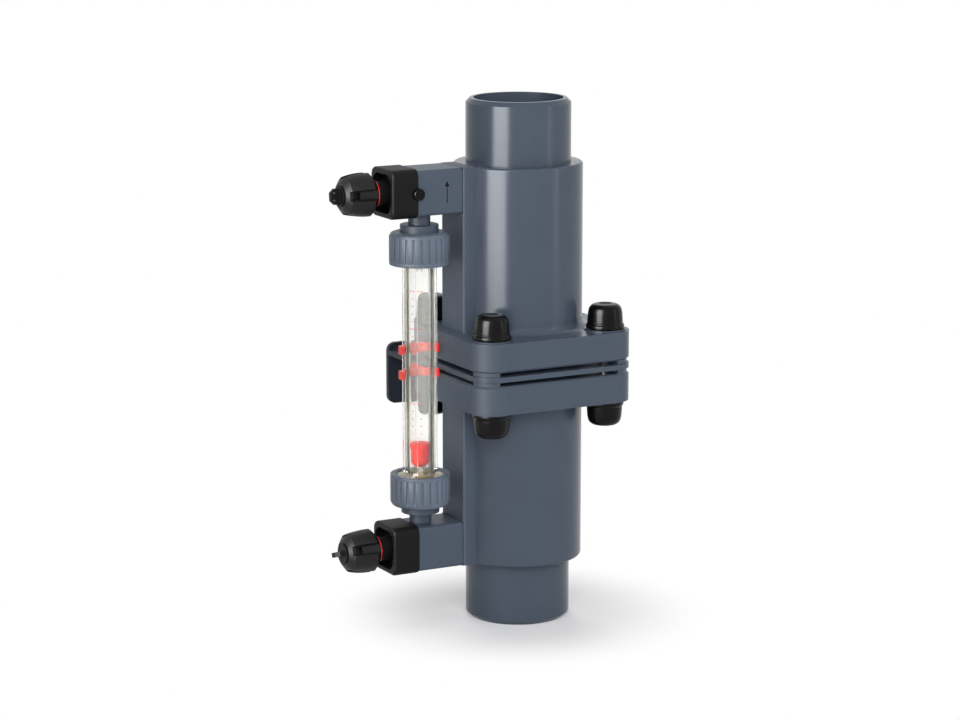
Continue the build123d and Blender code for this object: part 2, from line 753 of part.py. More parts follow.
pieces = {
    "lower_body": lower_body,
    "upper_body": upper_body,
    "orifice_plate": orifice_plate,
    "lower_flange_seal": lower_flange_seal,
    "upper_flange_seal": upper_flange_seal,
    "flange_bolts": flange_bolts,
    "flange_nuts": flange_nuts,
    "flange_washers": flange_washers,
    "upper_bolt_caps": upper_bolt_caps,
    "lower_bolt_caps": lower_bolt_caps,
    "mounting_bracket": mounting_bracket,
    "lower_valve_block": lower_valve_block,
    "upper_valve_block": upper_valve_block,
    "lower_union_end": lower_union_end,
    "upper_union_end": upper_union_end,
    "lower_tube_seal": lower_tube_seal,
    "upper_tube_seal": upper_tube_seal,
    "lower_union_nut": lower_union_nut,
    "upper_union_nut": upper_union_nut,
    "metering_tube": metering_tube,
    "float": float_body,
    "lower_float_stop": lower_float_stop,
    "upper_float_stop": upper_float_stop,
    "upper_marker": upper_marker,
    "lower_marker": lower_marker,
    "lower_bonnet": lower_bonnet,
    "upper_bonnet": upper_bonnet,
    "upper_lock_peg": upper_lock_peg,
    "lower_diaphragm": lower_diaphragm,
    "upper_diaphragm": upper_diaphragm,
    "lower_compressor": lower_compressor,
    "upper_compressor": upper_compressor,
    "lower_spindle": lower_spindle,
    "upper_spindle": upper_spindle,
    "lower_indicator_ring": lower_indicator_ring,
    "upper_indicator_ring": upper_indicator_ring,
    "lower_knob": lower_knob,
    "upper_knob": upper_knob,
    "lower_knob_cap": lower_knob_cap,
    "upper_knob_cap": upper_knob_cap,
}

for name, piece in pieces.items():
    piece.part.label = name
    export_step(piece.part, f"parts/{name}.step")
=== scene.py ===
from math import asin, atan, cos, pi, radians, sin, sqrt

import bmesh
import bpy
from mathutils import Matrix, Vector


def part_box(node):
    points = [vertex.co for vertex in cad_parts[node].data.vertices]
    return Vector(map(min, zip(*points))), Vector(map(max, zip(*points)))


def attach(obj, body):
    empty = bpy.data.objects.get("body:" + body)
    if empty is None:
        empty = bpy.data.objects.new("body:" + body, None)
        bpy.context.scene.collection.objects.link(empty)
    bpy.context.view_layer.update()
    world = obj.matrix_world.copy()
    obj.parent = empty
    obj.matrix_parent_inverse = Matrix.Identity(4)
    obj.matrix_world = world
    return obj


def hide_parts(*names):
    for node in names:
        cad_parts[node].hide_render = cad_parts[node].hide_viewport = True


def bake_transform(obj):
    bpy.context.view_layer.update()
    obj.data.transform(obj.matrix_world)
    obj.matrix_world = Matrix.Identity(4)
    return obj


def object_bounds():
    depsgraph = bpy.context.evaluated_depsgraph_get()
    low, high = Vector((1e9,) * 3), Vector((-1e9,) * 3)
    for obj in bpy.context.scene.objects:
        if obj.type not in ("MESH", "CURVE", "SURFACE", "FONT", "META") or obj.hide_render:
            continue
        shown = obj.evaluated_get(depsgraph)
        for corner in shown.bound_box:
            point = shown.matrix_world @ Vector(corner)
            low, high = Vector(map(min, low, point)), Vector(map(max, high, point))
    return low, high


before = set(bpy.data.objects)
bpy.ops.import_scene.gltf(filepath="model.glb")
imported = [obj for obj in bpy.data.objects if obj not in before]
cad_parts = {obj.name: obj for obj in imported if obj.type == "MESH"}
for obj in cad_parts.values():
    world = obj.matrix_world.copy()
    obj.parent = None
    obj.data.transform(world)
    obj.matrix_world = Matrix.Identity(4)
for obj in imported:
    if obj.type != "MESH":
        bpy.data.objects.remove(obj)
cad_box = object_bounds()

MM = 0.001

# The picture: the flow meter stands upright and is seen from its front left, from a little above.
# The camera keeps the photograph's place, and is tilted down to it in place of a large shift.
PIXEL = 0.6087 * MM
PHOTO_DISTANCE = 3000
PHOTO_HEIGHT = 607
PHOTO_SIDE = -37.4
PHOTO_DROP = 608.5
PHOTO_WIDTH = 960
SENSOR = 36.0
TILT_STRETCH = 1.008
AZIMUTH = radians(-28)


def placed(name, data):
    """A new item with its mesh or other data, in the scene."""
    item = bpy.data.objects.new(name, data)
    bpy.context.collection.objects.link(item)
    return item


middle = Vector((0, 0, (cad_box[0][2] + cad_box[1][2]) / 2))
towards_camera = Vector((sin(AZIMUTH), -cos(AZIMUTH), 0))
camera_right = Vector((cos(AZIMUTH), sin(AZIMUTH), 0))
up = Vector((0, 0, 1))
tilt = atan(PHOTO_DROP / PHOTO_DISTANCE)

camera_data = bpy.data.cameras.new("camera")
camera_data.sensor_width = SENSOR
camera_data.lens = TILT_STRETCH * sqrt(PHOTO_DISTANCE**2 + PHOTO_DROP**2) * SENSOR / PHOTO_WIDTH
camera_data.clip_start = 0.05
camera_data.clip_end = 60
camera = placed("camera", camera_data)
camera.location = (middle + PIXEL * (PHOTO_DISTANCE * towards_camera + PHOTO_SIDE * camera_right
                                     + PHOTO_HEIGHT * up))
look = -cos(tilt) * towards_camera - sin(tilt) * up
camera.rotation_euler = look.to_track_quat("-Z", "Y").to_euler()
bpy.context.scene.camera = camera
bpy.context.scene.view_settings.view_transform = "Standard"

# White studio: a plain room that lights the meter softly, and shows white to the camera and in
# glass and gloss. Soft boxes stand round the meter, the two tall ones for the long highlights.
ROOM_LIGHT = 0.16


def node_of(tree, kind, **values):
    """Adds a shader or geometry node, and sets its plain properties."""
    node = tree.nodes.new(kind)
    for name, value in values.items():
        setattr(node, name, value)
    return node


def seen_directly(tree):
    """1 for camera, glossy and transmission rays, which are to show the white background."""
    rays = node_of(tree, "ShaderNodeLightPath")
    camera_or_gloss = node_of(tree, "ShaderNodeMath", operation="MAXIMUM")
    tree.links.new(rays.outputs["Is Camera Ray"], camera_or_gloss.inputs[0])
    tree.links.new(rays.outputs["Is Glossy Ray"], camera_or_gloss.inputs[1])
    seen = node_of(tree, "ShaderNodeMath", operation="MAXIMUM")
    tree.links.new(camera_or_gloss.outputs[0], seen.inputs[0])
    tree.links.new(rays.outputs["Is Transmission Ray"], seen.inputs[1])
    return seen.outputs[0]


world = bpy.data.worlds.new("studio")
bpy.context.scene.world = world
world.use_nodes = True
tree = world.node_tree
tree.nodes.clear()
lighting = node_of(tree, "ShaderNodeBackground")
lighting.inputs["Strength"].default_value = ROOM_LIGHT
lighting.inputs["Color"].default_value = (1, 1, 1, 1)
shown = node_of(tree, "ShaderNodeBackground")
shown.inputs["Color"].default_value = (1, 1, 1, 1)
shown.inputs["Strength"].default_value = 1.0
either = node_of(tree, "ShaderNodeMixShader")
tree.links.new(seen_directly(tree), either.inputs[0])
tree.links.new(lighting.outputs[0], either.inputs[1])
tree.links.new(shown.outputs[0], either.inputs[2])
tree.links.new(either.outputs[0], node_of(tree, "ShaderNodeOutputWorld").inputs[0])


def soft_box(name, angle, distance, height, size, power, lights=True, shows=True):
    """A soft box at an angle from -Y towards +X, facing the meter's middle. It may leave matt
    surfaces unlit, or not show in gloss."""
    data = bpy.data.lights.new(name, "AREA")
    data.shape = "RECTANGLE"
    data.size, data.size_y = size
    data.energy = power
    item = placed(name, data)
    item.location = (distance * sin(radians(angle)), -distance * cos(radians(angle)), height)
    item.visible_diffuse = lights
    item.visible_glossy = shows
    item.rotation_euler = (middle - item.location).to_track_quat("-Z", "Y").to_euler()


soft_box("left_box", angle=-67, distance=1.5, height=0.62, size=(1.0, 1.3), power=104,
         lights=False)
soft_box("front_box", angle=-24, distance=1.7, height=0.9, size=(1.1, 1.1), power=25, shows=False)
soft_box("back_box", angle=165, distance=1.8, height=0.9, size=(1.1, 1.1), power=20, shows=False)
soft_box("right_box", angle=42, distance=1.6, height=0.6, size=(0.22, 1.3), power=3)
soft_box("top_box", angle=-20, distance=0.25, height=1.7, size=(1.5, 1.5), power=8, shows=False)

# White paper sweep: plain matt paper that takes the meter's shadow close to the foot, and runs out
# to pure white all round.
FLOOR_SIZE = 24.0
PAPER_WHITE = (0.84, 0.84, 0.85, 1)
SHADOW_REACH = (0.045, 0.12)
SHADOW_LEAST_WHITE = 0.25

floor_z = cad_box[0][2]
mesh = bpy.data.meshes.new("floor")
half = FLOOR_SIZE / 2
mesh.from_pydata([(-half, -half, floor_z), (half, -half, floor_z), (half, half, floor_z),
                  (-half, half, floor_z)], [], [(0, 1, 2, 3)])
floor = placed("floor", mesh)
paper = bpy.data.materials.new("floor_paper")
paper.use_nodes = True
tree = paper.node_tree
tree.nodes.clear()
matt = node_of(tree, "ShaderNodeBsdfDiffuse")
matt.inputs["Color"].default_value = PAPER_WHITE
white = node_of(tree, "ShaderNodeEmission")
white.inputs["Color"].default_value = (1, 1, 1, 1)
white.inputs["Strength"].default_value = 1.0
place = node_of(tree, "ShaderNodeTexCoord")
away = node_of(tree, "ShaderNodeVectorMath", operation="LENGTH")
tree.links.new(place.outputs["Object"], away.inputs[0])
fade = node_of(tree, "ShaderNodeMapRange", interpolation_type="SMOOTHSTEP")
fade.inputs["From Min"].default_value, fade.inputs["From Max"].default_value = SHADOW_REACH
fade.inputs["To Min"].default_value = SHADOW_LEAST_WHITE
fade.inputs["To Max"].default_value = 1.0
tree.links.new(away.outputs["Value"], fade.inputs["Value"])
share = node_of(tree, "ShaderNodeMath", operation="MULTIPLY")
tree.links.new(fade.outputs["Result"], share.inputs[0])
tree.links.new(seen_directly(tree), share.inputs[1])
surface = node_of(tree, "ShaderNodeMixShader")
tree.links.new(share.outputs[0], surface.inputs[0])
tree.links.new(matt.outputs[0], surface.inputs[1])
tree.links.new(white.outputs[0], surface.inputs[2])
tree.links.new(surface.outputs[0], node_of(tree, "ShaderNodeOutputMaterial").inputs[0])
floor.data.materials.append(paper)

# Half bodies: each is one heavy injection moulding in dark blue-grey PVC-U, with the pipe spigot,
# the barrel, the rail and the square flange. Its skin is satin, duller on the rail's flat sides,
# and its edges are eased.
BODY_EDGE = 0.5 * MM
PVC_GREY = (0.063, 0.081, 0.111)
MOTTLE_SCALE = 35
SHEEN_SPREAD = 0.03
PIT_DEPTH = 0.05 * MM
RAIL_FOOT = -35.9 * MM
RAIL_DULLNESS = 0.3
RAIL_CHANGE = 0.5 * MM
WELD_DISTANCE = 0.002 * MM
FLAT_WITHIN = 0.3
CREASE = 35


def moulded(name, colour, roughness, mottle, grain, depth, gloss=0.5):
    """A moulded plastic with a faint mottle, a fine grain and an uneven sheen.

    Grain is how close its pits stand and depth how strong they are. Gloss is how much light the
    skin throws back.
    """
    material = bpy.data.materials.new(name)
    material.use_nodes = True
    tree = material.node_tree
    shader = tree.nodes["Principled BSDF"]
    shader.inputs["Specular IOR Level"].default_value = gloss
    place = node_of(tree, "ShaderNodeTexCoord")
    clouds = node_of(tree, "ShaderNodeTexNoise")
    clouds.inputs["Scale"].default_value = MOTTLE_SCALE
    clouds.inputs["Detail"].default_value = 3
    tree.links.new(place.outputs["Object"], clouds.inputs["Vector"])
    ramp = node_of(tree, "ShaderNodeValToRGB")
    ramp.color_ramp.elements[0].position = 0.3
    ramp.color_ramp.elements[0].color = tuple(c * (1 - mottle) for c in colour) + (1,)
    ramp.color_ramp.elements[1].position = 0.7
    ramp.color_ramp.elements[1].color = tuple(c * (1 + mottle) for c in colour) + (1,)
    tree.links.new(clouds.outputs["Fac"], ramp.inputs["Fac"])
    tree.links.new(ramp.outputs["Color"], shader.inputs["Base Color"])
    pits = node_of(tree, "ShaderNodeTexNoise")
    pits.inputs["Scale"].default_value = grain
    pits.inputs["Detail"].default_value = 4
    tree.links.new(place.outputs["Object"], pits.inputs["Vector"])
    wear = node_of(tree, "ShaderNodeMapRange")
    wear.inputs["To Min"].default_value = roughness - SHEEN_SPREAD
    wear.inputs["To Max"].default_value = roughness + SHEEN_SPREAD
    tree.links.new(pits.outputs["Fac"], wear.inputs["Value"])
    tree.links.new(wear.outputs["Result"], shader.inputs["Roughness"])
    bump = node_of(tree, "ShaderNodeBump")
    bump.inputs["Strength"].default_value = depth
    bump.inputs["Distance"].default_value = PIT_DEPTH
    tree.links.new(pits.outputs["Fac"], bump.inputs["Height"])
    tree.links.new(bump.outputs["Normal"], shader.inputs["Normal"])
    return material


def settled(item):
    """Turns an item with modifiers into a plain mesh."""
    graph = bpy.context.evaluated_depsgraph_get()
    plain = bpy.data.meshes.new_from_object(item.evaluated_get(graph),
                                            preserve_all_data_layers=True, depsgraph=graph)
    item.modifiers.clear()
    item.data = plain
    return item


def coated(item, material):
    """Gives a piece or a CAD node its one finish."""
    item.data.materials.clear()
    item.data.materials.append(material)


def set_up(item, material, body, slot, *nodes):
    """Gives a piece its finish, the body that it moves with and the CAD nodes it stands for."""
    coated(item, material)
    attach(item, body)
    if nodes:
        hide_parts(*nodes)


def joined_copy(node):
    """A copy of a CAD node's mesh with its loose triangles joined and its flat faces whole."""
    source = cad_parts[node].data
    mesh = bpy.data.meshes.new(node + "_shape")
    mesh.from_pydata([v.co.copy() for v in source.vertices], [],
                     [tuple(p.vertices) for p in source.polygons])
    work = bmesh.new()
    work.from_mesh(mesh)
    bmesh.ops.remove_doubles(work, verts=work.verts, dist=WELD_DISTANCE)
    bmesh.ops.dissolve_degenerate(work, edges=work.edges, dist=WELD_DISTANCE)
    bmesh.ops.dissolve_limit(work, angle_limit=radians(FLAT_WITHIN), verts=work.verts,
                             edges=work.edges)
    work.to_mesh(mesh)
    work.free()
    return mesh


def smooth_to_creases(mesh, sharp=CREASE):
    """Shades a mesh smooth, apart from the edges sharper than an angle."""
    mesh.shade_smooth()
    mesh.set_sharp_from_angle(angle=radians(sharp))
    return mesh


def eased_node(node, edge, material, slot, body="meter", sharp=CREASE):
    """A CAD node's solid with its sharp edges rounded, in place of the node."""
    item = placed(node + "_finished", smooth_to_creases(joined_copy(node), sharp))
    bevel = item.modifiers.new("eased", "BEVEL")
    bevel.width = edge
    bevel.segments = 2
    bevel.limit_method = "ANGLE"
    bevel.angle_limit = radians(sharp)
    bevel.harden_normals = True
    set_up(settled(item), material, body, slot, node)


body_pvc = moulded("body_grey", PVC_GREY, roughness=0.21, mottle=0.04, grain=600, depth=0.04,
                   gloss=0.18)
tree = body_pvc.node_tree
axes = node_of(tree, "ShaderNodeSeparateXYZ")
tree.links.new(node_of(tree, "ShaderNodeTexCoord").outputs["Object"], axes.inputs["Vector"])
dull = node_of(tree, "ShaderNodeMapRange")
dull.inputs["From Min"].default_value = RAIL_FOOT
dull.inputs["From Max"].default_value = RAIL_FOOT - RAIL_CHANGE
dull.inputs["To Min"].default_value = 0.0
dull.inputs["To Max"].default_value = RAIL_DULLNESS
tree.links.new(axes.outputs["X"], dull.inputs["Value"])
rougher = node_of(tree, "ShaderNodeMath", operation="ADD")
rough = tree.nodes["Principled BSDF"].inputs["Roughness"]
tree.links.new(rough.links[0].from_socket, rougher.inputs[0])
tree.links.new(dull.outputs["Result"], rougher.inputs[1])
tree.links.new(rougher.outputs[0], rough)
for node in ("lower_body", "upper_body"):
    eased_node(node, BODY_EDGE, body_pvc, "pvc_grey")

# Orifice plate and wall bracket: sawn and machined from PVC-U sheet and welded together. The
# bracket stands behind the flanges, and its grey is darkened with painted shade.
plate_pvc = moulded("plate_grey", PVC_GREY, roughness=0.28, mottle=0.05, grain=900, depth=0.08,
                    gloss=0.18)
# Painted shade: the bracket's colour is the body grey darkened for the shade it sits in behind the
# flanges.
bracket_painted_shade = moulded("bracket_grey_painted_shade", (0.019, 0.025, 0.038), roughness=0.50, mottle=0.05,
                      grain=900, depth=0.08, gloss=0.18)
eased_node("orifice_plate", edge=0.25 * MM, material=plate_pvc, slot="plate_grey")
eased_node("mounting_bracket", edge=0.5 * MM, material=bracket_painted_shade, slot="plate_grey")

# Flat seals and tube seals: matt black elastomer rings. The flat ones are cut from sheet and lie
# between flange and plate, and the moulded ones sit between the union ends and the tube.
rubber = moulded("seal_rubber", (0.012, 0.012, 0.012), roughness=0.65, mottle=0.1, grain=1500,
                 depth=0.4, gloss=0.3)
for side in ("lower", "upper"):
    for node in ("_flange_seal", "_tube_seal"):
        coated(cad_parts[side + node], rubber)

# Flange bolts: stainless hexagon bolts that clamp the plate, and their rolled threads glint in the
# gaps between the flanges. Nuts and washers are stainless too, and sit under the caps.
BOLT_R = 4.0 * MM
THREAD_PITCH = 1.25 * MM
THREAD_DEPTH = 0.6 * MM
THREAD_ABOVE_MIDDLE = 6 * MM
BOLT_FLATS = 13.0 * MM
HEAD_R = BOLT_FLATS / sqrt(3)
FOOT_CHAMFER_IN, FOOT_CHAMFER_UP = 0.8 * MM, 0.4 * MM
TOP_CHAMFER_IN, TOP_CHAMFER_DOWN = 1.0 * MM, 0.6 * MM
SHANK_IN_HEAD = 1 * MM
BRUSH_SCALE = 1800
BRUSH_SPREAD = 0.08


def outline_turned(outline, centre, segments=64):
    """A closed mesh from an outline of (radius, height) pairs turned about an upright axis."""
    vertices, rings = [], []
    for radius, height in outline:
        count = segments if radius > 1e-7 else 1
        rings.append(range(len(vertices), len(vertices) + count))
        for step in range(count):
            angle = 2 * pi * step / segments
            vertices.append(centre + Vector((radius * cos(angle), radius * sin(angle), height)))
    faces = []
    for low, high in zip(rings, rings[1:] + rings[:1]):
        if len(low) == 1 and len(high) == 1:
            continue
        for step in range(segments):
            after = (step + 1) % segments
            corners = (low[step % len(low)], low[after % len(low)],
                       high[after % len(high)], high[step % len(high)])
            faces.append(tuple(dict.fromkeys(corners)))
    mesh = bpy.data.meshes.new("turned")
    mesh.from_pydata(vertices, [], faces)
    work = bmesh.new()
    work.from_mesh(mesh)
    bmesh.ops.recalc_face_normals(work, faces=work.faces)
    work.to_mesh(mesh)
    work.free()
    return smooth_to_creases(mesh)


def both(*meshes):
    """One mesh of several."""
    work = bmesh.new()
    for mesh in meshes:
        work.from_mesh(mesh)
    result = bpy.data.meshes.new("both")
    work.to_mesh(result)
    work.free()
    return result


def tree_with(name, *inputs):
    """A geometry node tree with its inputs, and its group input and output nodes."""
    tree = bpy.data.node_groups.new(name, "GeometryNodeTree")
    tree.interface.new_socket("Geometry", in_out="INPUT", socket_type="NodeSocketGeometry")
    for label, kind in inputs:
        tree.interface.new_socket(label, in_out="INPUT", socket_type=kind)
    tree.interface.new_socket("Geometry", in_out="OUTPUT", socket_type="NodeSocketGeometry")
    return tree, node_of(tree, "NodeGroupInput"), node_of(tree, "NodeGroupOutput")


def grown(name, mesh, tree, **values):
    """An item made by running a mesh through a geometry node tree, with its inputs by name."""
    item = placed(name, mesh)
    modifier = item.modifiers.new(tree.name, "NODES")
    modifier.node_group = tree
    for socket in tree.interface.items_tree:
        if socket.in_out == "INPUT" and socket.name in values:
            modifier[socket.identifier] = values[socket.name]
    return settled(item)


def copies_at(places, tree, given, made):
    """Ends a tree with a copy of the piece at each place, as one mesh with its finish."""
    each = node_of(tree, "GeometryNodeInstanceOnPoints")
    tree.links.new(places.outputs["Mesh"], each.inputs["Points"])
    tree.links.new(given.outputs["Geometry"], each.inputs["Instance"])
    real = node_of(tree, "GeometryNodeRealizeInstances")
    tree.links.new(each.outputs["Instances"], real.inputs["Geometry"])
    finish = node_of(tree, "GeometryNodeSetMaterial")
    tree.links.new(real.outputs["Geometry"], finish.inputs["Geometry"])
    tree.links.new(given.outputs["Finish"], finish.inputs["Material"])
    tree.links.new(finish.outputs["Geometry"], made.inputs["Geometry"])
    return each


def four_corners():
    """Geometry nodes that set the piece at the four bolt places of the flange."""
    tree, given, made = tree_with("four_corners", ("Spacing", "NodeSocketFloat"),
                                  ("Finish", "NodeSocketMaterial"))
    places = node_of(tree, "GeometryNodeMeshGrid")
    places.inputs["Vertices X"].default_value = 2
    places.inputs["Vertices Y"].default_value = 2
    tree.links.new(given.outputs["Spacing"], places.inputs["Size X"])
    tree.links.new(given.outputs["Spacing"], places.inputs["Size Y"])
    copies_at(places, tree, given, made)
    return tree


def metal(name, colour, roughness):
    """Bare metal, drawn and lightly brushed."""
    material = bpy.data.materials.new(name)
    material.use_nodes = True
    tree = material.node_tree
    shader = tree.nodes["Principled BSDF"]
    shader.inputs["Metallic"].default_value = 1.0
    shader.inputs["Base Color"].default_value = colour + (1,)
    place = node_of(tree, "ShaderNodeTexCoord")
    brush = node_of(tree, "ShaderNodeTexNoise")
    brush.inputs["Scale"].default_value = BRUSH_SCALE
    tree.links.new(place.outputs["Object"], brush.inputs["Vector"])
    wear = node_of(tree, "ShaderNodeMapRange")
    wear.inputs["To Min"].default_value = roughness - BRUSH_SPREAD
    wear.inputs["To Max"].default_value = roughness + BRUSH_SPREAD
    tree.links.new(brush.outputs["Fac"], wear.inputs["Value"])
    tree.links.new(wear.outputs["Result"], shader.inputs["Roughness"])
    return material


steel = metal("steel", (0.55, 0.54, 0.52), roughness=0.3)
bolts_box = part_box("flange_bolts")
bolt_spacing = bolts_box[1][1] - bolts_box[0][1] - BOLT_FLATS
head_low, head_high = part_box("flange_washers")[1][2], bolts_box[1][2]
bolt_low = bolts_box[0][2]
thread_turns = int((middle.z + THREAD_ABOVE_MIDDLE - bolt_low) / THREAD_PITCH)
shank = [(0, bolt_low)]
for turn in range(thread_turns):
    shank += [(BOLT_R - THREAD_DEPTH, bolt_low + turn * THREAD_PITCH),
              (BOLT_R, bolt_low + (turn + 0.5) * THREAD_PITCH)]
shank += [(BOLT_R, head_low + SHANK_IN_HEAD), (0, head_low + SHANK_IN_HEAD)]
head = [(0, head_low), (HEAD_R - FOOT_CHAMFER_IN, head_low), (HEAD_R, head_low + FOOT_CHAMFER_UP),
        (HEAD_R, head_high - TOP_CHAMFER_DOWN), (HEAD_R - TOP_CHAMFER_IN, head_high),
        (0, head_high)]
bolt = both(outline_turned(shank, Vector(), segments=32),
            outline_turned(head, Vector(), segments=6))
at_corners = four_corners()
bolts = grown("threaded_bolts", bolt, at_corners, Spacing=bolt_spacing, Finish=steel)
set_up(bolts, steel, "meter", "steel", "flange_bolts")
for node in ("flange_nuts", "flange_washers", "lower_spindle", "upper_spindle"):
    coated(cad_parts[node], steel)

# Bolt caps: black plastic cups pressed over the bolt heads and nuts, with a rolled lip at the foot,
# a slight taper, a round shoulder and a flat top with a sunk gate mark.
CAP_LIP_R = 11.5 * MM
CAP_HEIGHT = 14.7 * MM
CAP_NUT_R, CAP_NUT_DEPTH = 8.5 * MM, 8.6 * MM
CAP_THREAD_R, CAP_THREAD_DEPTH = 5.5 * MM, 10.6 * MM
CAP_ROUND = 1.2 * MM


def softened(outline, radius, steps=4):
    """A closed outline whose corners are rounded, as far as the sides beside them allow."""
    result = []
    count = len(outline)
    for index in range(count):
        before = Vector(outline[index - 1])
        corner = Vector(outline[index])
        after = Vector(outline[(index + 1) % count])
        if corner.x < 1e-7:
            result.append(tuple(corner))
            continue
        start, end = (corner + side.normalized() * min(radius, 0.45 * side.length)
                      for side in (before - corner, after - corner))
        for step in range(steps + 1):
            t = step / steps
            result.append(tuple((1 - t)**2 * start + 2 * t * (1 - t) * corner + t**2 * end))
    return result


def cap_outline(base, sign):
    """The cap's outline from its hollow, up for sign 1 and down for sign -1."""
    hollow = [(0, CAP_THREAD_DEPTH), (CAP_THREAD_R, CAP_THREAD_DEPTH),
              (CAP_THREAD_R, CAP_NUT_DEPTH), (CAP_NUT_R, CAP_NUT_DEPTH), (CAP_NUT_R, 0)]
    sizes = [(0.98, 0), (1, 0.03), (1, 0.13), (0.97, 0.18), (0.925, 0.21), (0.93, 0.26),
             (0.895, 0.66), (0.83, 0.86), (0.66, 0.98), (0.5, 1), (0.34, 1), (0.29, 0.96),
             (0, 0.96)]
    outside = [(CAP_LIP_R * radius, CAP_HEIGHT * height) for radius, height in sizes]
    return [(radius, base + sign * height) for radius, height in hollow + outside]


black = moulded("black_plastic", (0.0024, 0.0021, 0.0021), roughness=0.23, mottle=0.1, grain=900,
                depth=0.12, gloss=0.14)
for side, sign in (("upper", 1), ("lower", -1)):
    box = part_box(side + "_bolt_caps")
    base = box[0][2] if sign > 0 else box[1][2]
    cap = outline_turned(softened(cap_outline(base, sign), CAP_ROUND), Vector())
    caps = grown(side + "_caps", cap, at_corners, Spacing=bolt_spacing, Finish=black)
    set_up(caps, black, "meter", "black_plastic", side + "_bolt_caps")

# Valve blocks: square PVC-U blocks welded to the rails, with round edges, and a fine line of
# painted shade along the seam, where the weld stops short of the surface. A printed arrow on the
# upper block shows the way of the flow.
SEAM_WIDTH = 0.35 * MM
SEAM_PROUD = 0.06 * MM
SEAM_EDGE = 0.15 * MM
SEAM_CORNER = 1.0 * MM
ARROW_TALL, ARROW_HEAD, ARROW_LINE = 13.0 * MM, 3.2 * MM, 0.55 * MM
ARROW_FROM_MIDDLE = 4.5 * MM
INK_PROUD = 0.03 * MM


def block_between(low, high, edge, steps=2):
    """A box mesh from its low to its high corner, with rounded edges."""
    work = bmesh.new()
    bmesh.ops.create_cube(work, size=1)
    size = Vector(high) - Vector(low)
    centre = (Vector(high) + Vector(low)) / 2
    for vertex in work.verts:
        vertex.co = centre + Vector(a * b for a, b in zip(vertex.co, size))
    bmesh.ops.bevel(work, geom=list(work.edges), offset=edge, segments=steps, affect="EDGES",
                    profile=0.5)
    mesh = bpy.data.meshes.new("block")
    work.to_mesh(mesh)
    work.free()
    return smooth_to_creases(mesh)


pvc = moulded("pvc_grey", PVC_GREY, roughness=0.44, mottle=0.04, grain=600, depth=0.04, gloss=0.18)
# Painted shade: a near-black sheet just proud of the weld line stands for the shade in the seam's
# groove.
seam_painted_shade = moulded("seam_shadow", (0.010, 0.012, 0.016), roughness=0.6, mottle=0.0, grain=900,
                    depth=0.0, gloss=0.1)
for side in ("lower", "upper"):
    node = side + "_valve_block"
    eased_node(node, edge=0.45 * MM, material=pvc, slot="pvc_grey")
    low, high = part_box(node)
    seam = block_between((high[0] - SEAM_WIDTH, low[1] - SEAM_PROUD, low[2] - SEAM_PROUD),
                         (high[0] + SEAM_WIDTH / 2, high[1] + SEAM_PROUD, high[2] + SEAM_PROUD),
                         SEAM_EDGE, steps=1)
    work = bmesh.new()
    work.from_mesh(seam)
    corners = [edge for edge in work.edges
               if abs((edge.verts[0].co - edge.verts[1].co).normalized().x) > 0.9]
    bmesh.ops.bevel(work, geom=corners, offset=SEAM_CORNER, segments=3, affect="EDGES",
                    profile=0.5)
    work.to_mesh(seam)
    work.free()
    set_up(placed(side + "_weld_seam_shade", seam), seam_painted_shade, "meter", "pvc_grey")
low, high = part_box("upper_valve_block")
foot = Vector(((low[0] + high[0]) / 2 + ARROW_FROM_MIDDLE, low[1],
               (low[2] + high[2] - ARROW_TALL) / 2))
neck = ARROW_TALL - ARROW_HEAD
points = [(-ARROW_LINE / 2, 0), (ARROW_LINE / 2, 0), (ARROW_LINE / 2, neck),
          (ARROW_HEAD / 2, neck), (0, ARROW_TALL), (-ARROW_HEAD / 2, neck),
          (-ARROW_LINE / 2, neck)]
work = bmesh.new()
face = work.faces.new([work.verts.new(foot + Vector((x, INK_PROUD, z))) for x, z in points])
for item in bmesh.ops.extrude_face_region(work, geom=[face])["geom"]:
    if isinstance(item, bmesh.types.BMVert):
        item.co.y -= 2 * INK_PROUD
bmesh.ops.recalc_face_normals(work, faces=work.faces)
mesh = bpy.data.meshes.new("arrow")
work.to_mesh(mesh)
work.free()
set_up(placed("flow_arrow", mesh), black, "meter", "black_plastic")

# Union ends: spigots and collars turned from PVC-U and welded into the valve blocks. The union nuts
# pull the tube's ends against their collars.
for node in ("lower_union_end", "upper_union_end"):
    eased_node(node, edge=0.35 * MM, material=pvc, slot="pvc_grey")

# Union nuts: moulded PVC-U with a grainy skin, twenty-four broad grip ribs between two plain rings,
# and a wide chamfer towards the valve block. They pull the clear tube onto the union ends.
NUT_R = 17.9 * MM
NUT_ROOT_R = 17.1 * MM
NUT_FOOT_R = 14.5 * MM
NUT_NECK_R, NUT_NECK_LENGTH = 11.6 * MM, 3.4 * MM
NUT_THREAD_R = 14.1 * MM
NUT_ROUND = 0.5 * MM
RIB_COUNT = 24
GROOVE = 1.15 * MM
GROOVE_RAMP = 0.8 * MM
CHAMFER_LENGTH = 2.8 * MM
RIB_LENGTH = 14.0 * MM
RIB_ROOT = 1 * MM
RIB_BELOW_RINGS = 0.02 * MM


